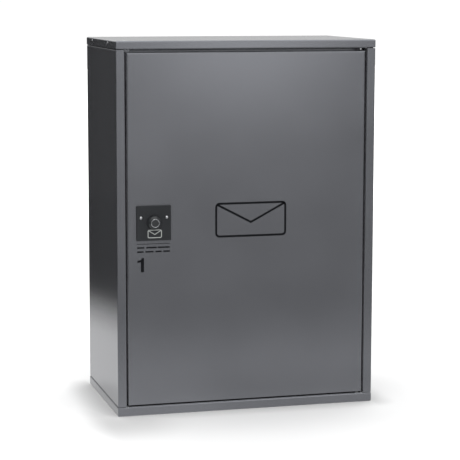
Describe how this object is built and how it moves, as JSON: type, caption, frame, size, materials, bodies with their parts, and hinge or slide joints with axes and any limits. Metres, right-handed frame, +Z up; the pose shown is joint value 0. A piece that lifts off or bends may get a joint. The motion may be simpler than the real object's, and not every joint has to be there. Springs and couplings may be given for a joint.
{
  "type": "parcel mailbox cabinet",
  "caption": "Free-standing sheet-steel mailbox compartment with a right-hung inset door on pivot pins and an electronic knob latch with a swinging latch arm.",
  "frame": {"origin": "centre of the base's underside, on the floor", "axes": "+X to the right seen from the front, +Y to the back, +Z up; the door faces -Y"},
  "size_m": [0.4322, 0.2591, 0.6],
  "materials": {
    "powder_coat": "metallic dark grey powder coat, satin",
    "zinc_steel": "bright zinc plating",
    "black_coat": "satin black",
    "black_plastic": "fine texture",
    "knob_plastic": "semi-gloss",
    "bright_ring": "turned",
    "rubber": "matt",
    "board": "solder mask",
    "cell_jacket": "printed jacket, left plain",
    "motor_case": "drawn steel can"
  },
  "bodies": {
    "cabinet": {"left_side_panel": "powder_coat", "right_side_panel": "powder_coat", "rear_panel": "powder_coat", "top_cap": "powder_coat", "base_tray": "powder_coat", "ceiling_panel": "powder_coat", "floor_panel": "powder_coat", "top_stop_rail": "powder_coat", "sill_stop_rail": "powder_coat", "upper_hinge_plate": "zinc_steel", "lower_hinge_plate": "zinc_steel", "upper_hinge_pin": "zinc_steel", "lower_hinge_pin": "zinc_steel", "strike_plate": "zinc_steel", "door_buffers": "rubber", "cap_rivets": "zinc_steel", "ceiling_rivets": "powder_coat", "floor_rivets": "powder_coat", "rear_rivets": "powder_coat"},
    "door": {"door_panel": "powder_coat", "door_stiffener": "powder_coat", "upper_hinge_bush": "black_plastic", "lower_hinge_bush": "black_plastic", "lock_faceplate": "black_coat", "faceplate_gasket": "rubber", "faceplate_screws": "zinc_steel", "lock_case": "black_plastic", "lock_case_cover": "black_plastic", "cover_screws": "zinc_steel", "control_board": "board", "battery_cells": "cell_jacket", "battery_contacts": "zinc_steel", "blocking_motor": "motor_case"},
    "lock_rotor": {"knob": "knob_plastic", "knob_ring": "bright_ring", "knob_face": "knob_plastic", "spindle": "zinc_steel", "clutch_disc": "zinc_steel", "latch_arm": "zinc_steel", "arm_washer": "zinc_steel", "arm_screw": "zinc_steel"},
    "lock_bolt": {"blocking_bolt": "zinc_steel"}
  },
  "joints": [
    {"name": "door_hinge", "type": "hinge", "parent": "cabinet", "child": "door", "pos_m": [0.1915, -0.1153, 0.3], "axis": [0, 0, 1], "range_deg": [0, 95]},
    {"name": "knob_turn", "type": "hinge", "parent": "door", "child": "lock_rotor", "pos_m": [-0.1556, -0.11, 0.313], "axis": [0, 1, 0], "range_deg": [0, 90]},
    {"name": "bolt_lift", "type": "slide", "parent": "door", "child": "lock_bolt", "axis": [0, 0, 1], "range_m": [0, 0.003]}
  ]
}
